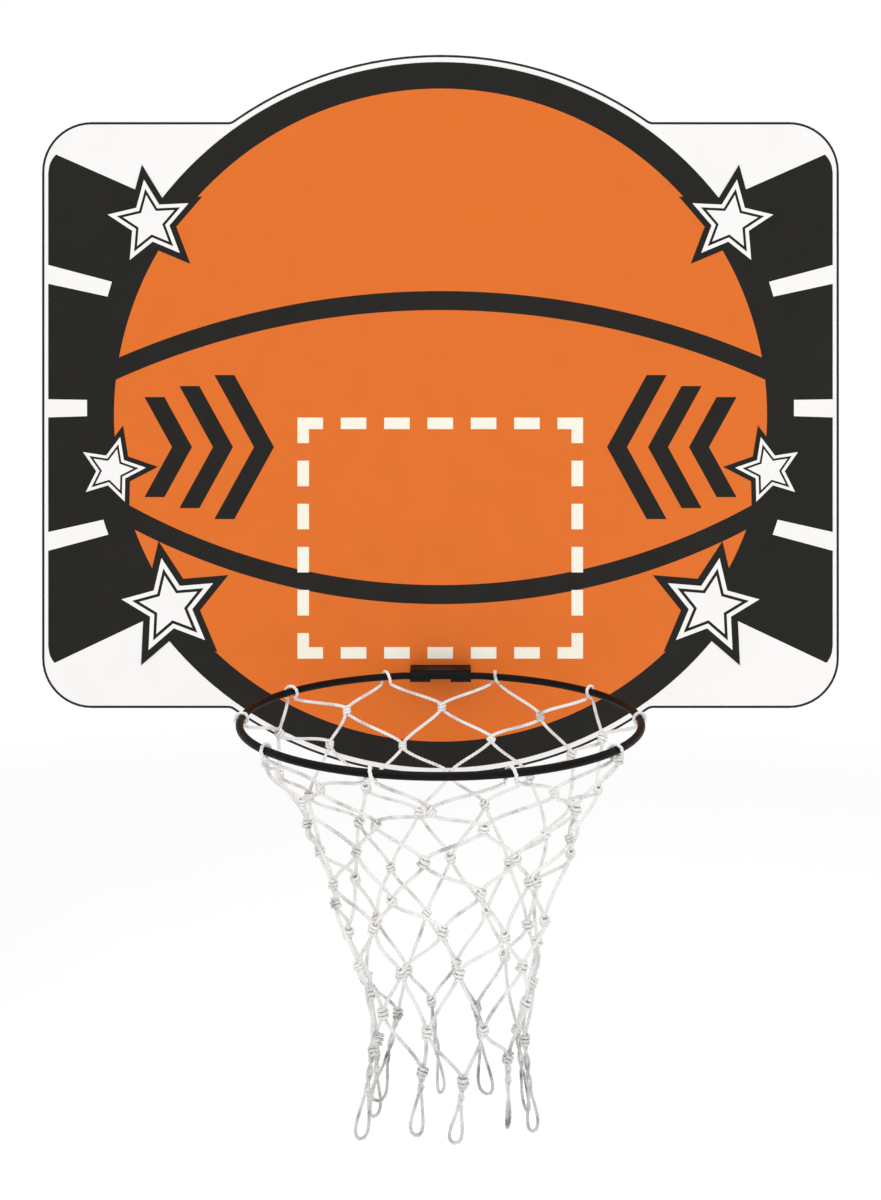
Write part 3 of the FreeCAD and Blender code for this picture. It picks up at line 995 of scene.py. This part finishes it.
def outwards(points):
    # level directions from the rim's middle to the points
    flat = points - np.array([0.0, ring["centreY"], 0.0])
    flat[..., 2] = 0
    return unit(flat)


def alongRim(points):
    # level directions at right angles to those, the way the knots are counted
    out = outwards(points)
    return np.stack([out[..., 1], -out[..., 0], np.zeros(out.shape[:-1])], -1)


def twinePiece(name, path, across, radius):
    # along each path a ring of points with a lobe for each strand, turned once for each lay of length
    steps = np.linalg.norm(np.diff(path, axis=-2), axis=-1)
    run = np.concatenate([np.zeros((len(path), 1)), np.cumsum(steps, -1)], -1)
    twist = run * fullTurn / net["lay"]
    tubes = tubeSurface(path, across, radius, net["sides"], twist, net["strands"], net["lobeDepth"])
    return newPiece(name, tubes, tubeFaces(*path.shape[:2], net["sides"]), twine, "hoop")


def hermite(start, end, way, count):
    # a cubic from start to end that leaves and arrives along one given way
    t = np.linspace(0, 1, count)[:, None]
    a, b, w = start[..., None, :], end[..., None, :], way[..., None, :]
    return (2 * t**3 - 3 * t**2 + 1) * a + (3 * t**2 - 2 * t**3) * b + (2 * t**3 - 3 * t**2 + t) * w


knots = netPoint(*knotPlaces())


def meshEnds():
    # every knot sends one twine down to each side, to the two nearest knots of the next row
    starts, ends, sides = [], [], []
    for k in range(net["rows"]):
        for way in (0, 1):
            starts.append(knots[k])
            ends.append(np.roll(knots[k + 1], 1 - way if k % 2 else -way, axis=0))
            sides.append(np.full(net["columns"], 1.0 if way else -1.0))
    return np.concatenate(starts), np.concatenate(ends), np.concatenate(sides)[:, None]


def meshPaths():
    # lengths that leave and arrive close together and steeply, each bowed out or in by its own slack
    starts, ends, sides = meshEnds()
    level = np.repeat(np.arange(net["rows"]), 2 * net["columns"])[:, None]
    first = level == 0
    aside = np.where(first, net["hitchHalf"], net["knotHalf"])
    starts = starts + alongRim(starts) * sides * aside + down * np.where(first, 0.0, net["knotRise"])
    ends = ends - alongRim(ends) * sides * net["knotHalf"] - down * net["knotRise"]
    chord = ends - starts
    gap = np.linalg.norm(chord, axis=-1, keepdims=True)
    steep = gap * (net["steepTop"] + (net["steepFoot"] - net["steepTop"]) * level / net["rows"])
    way = chord * net["pull"] + down * steep
    path = hermite(starts, ends, way, net["edgeRings"])
    wave = np.sin(np.linspace(0, math.pi, net["edgeRings"]))[None, :, None]
    bulge = dice.normal(size=(len(starts), 1, 1)) * net["slack"]
    # the first lengths only bow inwards, clear of the hinge
    bulge = np.where(first[:, :, None], -net["firstSlack"] * np.abs(bulge), bulge)
    return path + outwards(path) * wave * bulge


lengths = meshPaths()
meshPiece = twinePiece("net_mesh_twine", lengths, outwards(lengths), net["twine"])
print("net twine laid:", len(lengths), "lengths")

knot = {
    "rings": 60,
    "turns": 3.1,
    "wrap": 1.75 * mm,
    "height": 4.9 * mm,
    "twine": 0.92 * mm,
    "tilt": 0.5,
    "tiltOut": 0.5,  # share of the tilt that goes outwards
    "tuck": (0.25, 4.5),  # share of the wrap at the coil's two ends, and how fast it grows from there
    "sizes": (0.88, 1.16),
    "low": 0.3,  # how much the knots grow towards the foot
}


def wrappedKnots(centres, size):
    # a short coil about an upright axis that leans at random; its ends tuck inwards
    n = len(centres)
    t = np.linspace(0, 1, knot["rings"])[None, :]
    phase = dice.uniform(0, fullTurn, (n, 1))
    way = np.where(dice.uniform(size=(n, 1)) < 0.5, -1.0, 1.0)
    angle = phase + way * t * knot["turns"] * fullTurn
    start, growth = knot["tuck"]
    tuck = np.minimum(1.0, growth * np.minimum(t, 1 - t) + start)
    out = outwards(centres)[:, None, :]
    along = alongRim(centres)[:, None, :]
    lean = dice.normal(size=(n, 1, 1)) * out * knot["tiltOut"] + dice.normal(size=(n, 1, 1)) * along
    axis = unit(upWay + knot["tilt"] * lean)
    u = unit(along - axis * np.sum(along * axis, -1, keepdims=True))
    v = np.cross(axis, u)
    r = knot["wrap"] * size[:, None] * tuck
    rise = (t - 0.5) * knot["height"] * size[:, None]
    path = (
        centres[:, None, :]
        + (r * np.cos(angle))[..., None] * u
        + (r * np.sin(angle))[..., None] * v
        + rise[..., None] * axis
    )
    return path, np.broadcast_to(axis, path.shape)


centres = knots[1:].reshape(-1, 3)
knotRow = np.repeat(np.arange(net["rows"]), net["columns"])
knotSize = dice.uniform(*knot["sizes"], len(centres)) * (1 + knot["low"] * knotRow / net["rows"])
knotPiece = twinePiece("net_knots", *wrappedKnots(centres, knotSize), knot["twine"])
print("knots tied:", len(centres))

hitch = {
    "rings": 70,
    "clear": 0.12 * mm,
    "leans": (0.75, 1.1),  # least and greatest share of hitchHalf that a hitch moves along the rod
}


def hitchPaths():
    # up the outside of the rod, over it and down the inside, moving along the rod on the way
    heads = knots[0]
    out = outwards(heads)[:, None, :]
    along = alongRim(heads)[:, None, :]
    centre = ring["radius"] * outwards(heads) + np.array([0.0, ring["centreY"], ring["z"]])
    t = np.linspace(0, 1, hitch["rings"])[None, :]
    wrap = ring["rod"] + hitch["clear"] + net["twine"]
    angle = fullTurn * t - quarterTurn
    advance = net["hitchHalf"] * (2 * t - 1) * dice.uniform(*hitch["leans"], (len(heads), 1))
    path = (
        centre[:, None, :]
        + (wrap * np.cos(angle))[..., None] * out
        + (wrap * np.sin(angle))[..., None] * upWay
        + advance[..., None] * along
    )
    return path, np.broadcast_to(along, path.shape)


hitchPiece = twinePiece("net_rim_hitches", *hitchPaths(), net["twine"])
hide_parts("net_hitches")

tail = {
    "rings": 120,
    "split": 0.42,  # share of the points of each half that lie in the stem
    "start": 2.5 * mm,
    "stem": 13 * mm,
    "drop": 20 * mm,
    "half": 3.9 * mm,
    # least and greatest share of the three sizes above
    "stems": (0.55, 1.35),
    "drops": (0.8, 1.15),
    "halves": (0.8, 1.2),
    "belly": (0.6, 0.5),  # fullness of the loop at its neck, and what it gains by its foot
    "twine": 0.92 * mm,
    "plait": 0.95 * mm,
    "plaitTurns": 2.2,  # half turns of the stem's two halves
    "yaw": 1.2,
    "fan": 0.12,
    "stray": 0.1,
    "rear": 6.5 * mm,
}


def tailPaths():
    # a doubled stem whose two halves turn about each other, opening into a drop-shaped loop
    heads = knots[-1]
    n = len(heads)
    t = np.linspace(-1, 1, tail["rings"])[None, :]
    out, along = outwards(heads)[:, None, :], alongRim(heads)[:, None, :]
    stem = tail["stem"] * dice.uniform(*tail["stems"], (n, 1)) + tail["rear"] * (1 + out[:, :, 1])
    drop = tail["drop"] * dice.uniform(*tail["drops"], (n, 1))
    half = tail["half"] * dice.uniform(*tail["halves"], (n, 1))
    s = 1 - np.abs(t)  # 1 at the foot of the loop, 0 at the knot
    inLoop = np.clip((s - tail["split"]) / (1 - tail["split"]), 0, 1)
    inStem = np.clip(s / tail["split"], 0, 1)
    fall = tail["start"] + stem * inStem + drop * np.sin(inLoop * quarterTurn)
    neck, gain = tail["belly"]
    gape = half * np.sin(inLoop * math.pi) * (neck + gain * inLoop)
    plaitTurn = inStem * math.pi * tail["plaitTurns"]
    pair = tail["plait"] * (1 - inLoop)
    spread = np.sign(t) * (pair * np.cos(plaitTurn) + gape)
    depthOut = np.sign(t) * pair * np.sin(plaitTurn)
    yaw = dice.uniform(-tail["yaw"], tail["yaw"], (n, 1))[..., None]
    u = along * np.cos(yaw) + out * np.sin(yaw)
    v = out * np.cos(yaw) - along * np.sin(yaw)
    swing = tail["fan"] * out[:, :, 0] + dice.normal(size=(n, 1)) * tail["stray"]
    swingOut = dice.normal(size=(n, 1)) * tail["stray"]
    path = (
        heads[:, None, :]
        + spread[..., None] * u
        + depthOut[..., None] * v
        + fall[..., None] * (down + swing[..., None] * sideWay + swingOut[..., None] * backWay)
    )
    return path, np.broadcast_to(v, path.shape)


tailPiece = twinePiece("net_tail_twine", *tailPaths(), tail["twine"])
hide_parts("net_mesh")
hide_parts("net_tail_loops")
for piece in (meshPiece, knotPiece, tailPiece):
    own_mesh(piece)
print("tails hung")


# Stage, light and camera

stage = {
    "floorZ": -0.95,
    "half": 4.0,
    # as in the table of finishes
    "finish": (linear(252, 252, 251), 0.8, 0.4, 0.006, 0.1, 0.02, 0.02),
    "solid": 0.9,  # distances from the floor's middle where it starts to clear and where it is gone
    "gone": 2.6,
}


def fadeOut(material):
    # the floor turns clear between two distances from its middle, so that it has no far edge
    tree, solid, gone = material.node_tree, stage["solid"], stage["gone"]
    vector = place(material, (1 / gone, 1 / gone, 0))
    dome = node(material, "ShaderNodeTexGradient", {"Vector": vector}, gradient_type="SPHERICAL")
    weight = span(material, dome.outputs["Fac"], 0.0, 1.0, 0.0, 1 - solid / gone)
    clear = node(material, "ShaderNodeBsdfTransparent").outputs["BSDF"]
    opaque = tree.nodes["Principled BSDF"].outputs["BSDF"]
    mix = node(material, "ShaderNodeMixShader", {0: weight, 1: clear, 2: opaque})
    tree.links.new(mix.outputs["Shader"], tree.nodes["Material Output"].inputs["Surface"])


floorMaterial = mottled("pale floor", *stage["finish"])
fadeOut(floorMaterial)
corners = np.array([[-1, -1, 0], [1, -1, 0], [1, 1, 0], [-1, 1, 0]]) * stage["half"] + upWay * stage["floorZ"]
floorMesh = bpy.data.meshes.new("floor")
floorMesh.from_pydata(corners.tolist(), [], [[0, 1, 2, 3]])
floorMesh.materials.append(floorMaterial)
floor = newObject("floor", floorMesh)

# the sky lights the part softly and is seen as white
studio = {"light": 0.66, "seen": 1.0}
world = bpy.data.worlds.new("studio")
world.use_nodes = True
bpy.context.scene.world = world
sky = world.node_tree
softSky, whiteSky = sky.nodes["Background"], sky.nodes.new("ShaderNodeBackground")
for background, strength in ((softSky, studio["light"]), (whiteSky, studio["seen"])):
    background.inputs["Color"].default_value = (1.0, 1.0, 1.0, 1.0)
    background.inputs["Strength"].default_value = strength
rayKind = sky.nodes.new("ShaderNodeLightPath")
skyMix = sky.nodes.new("ShaderNodeMixShader")
sky.links.new(rayKind.outputs["Is Camera Ray"], skyMix.inputs[0])
sky.links.new(softSky.outputs["Background"], skyMix.inputs[1])
sky.links.new(whiteSky.outputs["Background"], skyMix.inputs[2])
sky.links.new(skyMix.outputs["Shader"], sky.nodes["World Output"].inputs["Surface"])

lamps = {
    # place, the point it faces, width and height, watts
    "key": ((-0.9, -1.7, 1.3), (0, -0.05, -0.15), (1.4, 1.4), 7),
    "fill": ((1.4, -1.6, 0.3), (0, -0.05, -0.15), (1.2, 1.6), 3.5),
    "front": ((0.1, -2.4, -0.4), (0, -0.05, -0.26), (1.6, 1.6), 6),
    "back": ((0.7, 1.6, 1.1), (0, 0, -0.15), (1.4, 1.2), 12),
    "overhead": ((0, 0.0, 2.2), (0, 0, -1.0), (3.0, 3.0), 30),
}


def softLight(name, location, target, size, power):
    # a soft box that faces a point
    light = bpy.data.lights.new(name, "AREA")
    light.shape = "RECTANGLE"
    light.size, light.size_y = size
    light.energy = power
    lamp = newObject(name, light)
    lamp.location = location
    aim = Vector(target) - Vector(location)
    lamp.rotation_euler = aim.to_track_quat("-Z", "Y").to_euler()


for name, values in lamps.items():
    softLight(name, *values)

lens = {
    "distance": 0.9,
    "above": 0.0422,
    # in photo pixels: focal length, height of the horizon and of the picture
    "focal": 1494.0,
    "horizon": 345.0,
    "height": 1200,
    "sensor": 36.0,
}
cameraData = bpy.data.cameras.new("camera")
cameraData.sensor_width = lens["sensor"]
cameraData.lens = lens["focal"] / lens["height"] * lens["sensor"]
cameraData.shift_y = (lens["horizon"] - lens["height"] / 2) / lens["height"]
camera = newObject("camera", cameraData)
camera.location = (0, board["face"] - lens["distance"], board["centreZ"] + lens["above"])
camera.rotation_euler = (quarterTurn, 0, 0)
bpy.context.scene.camera = camera
bpy.context.scene.view_settings.view_transform = "Standard"

print("scene ready")
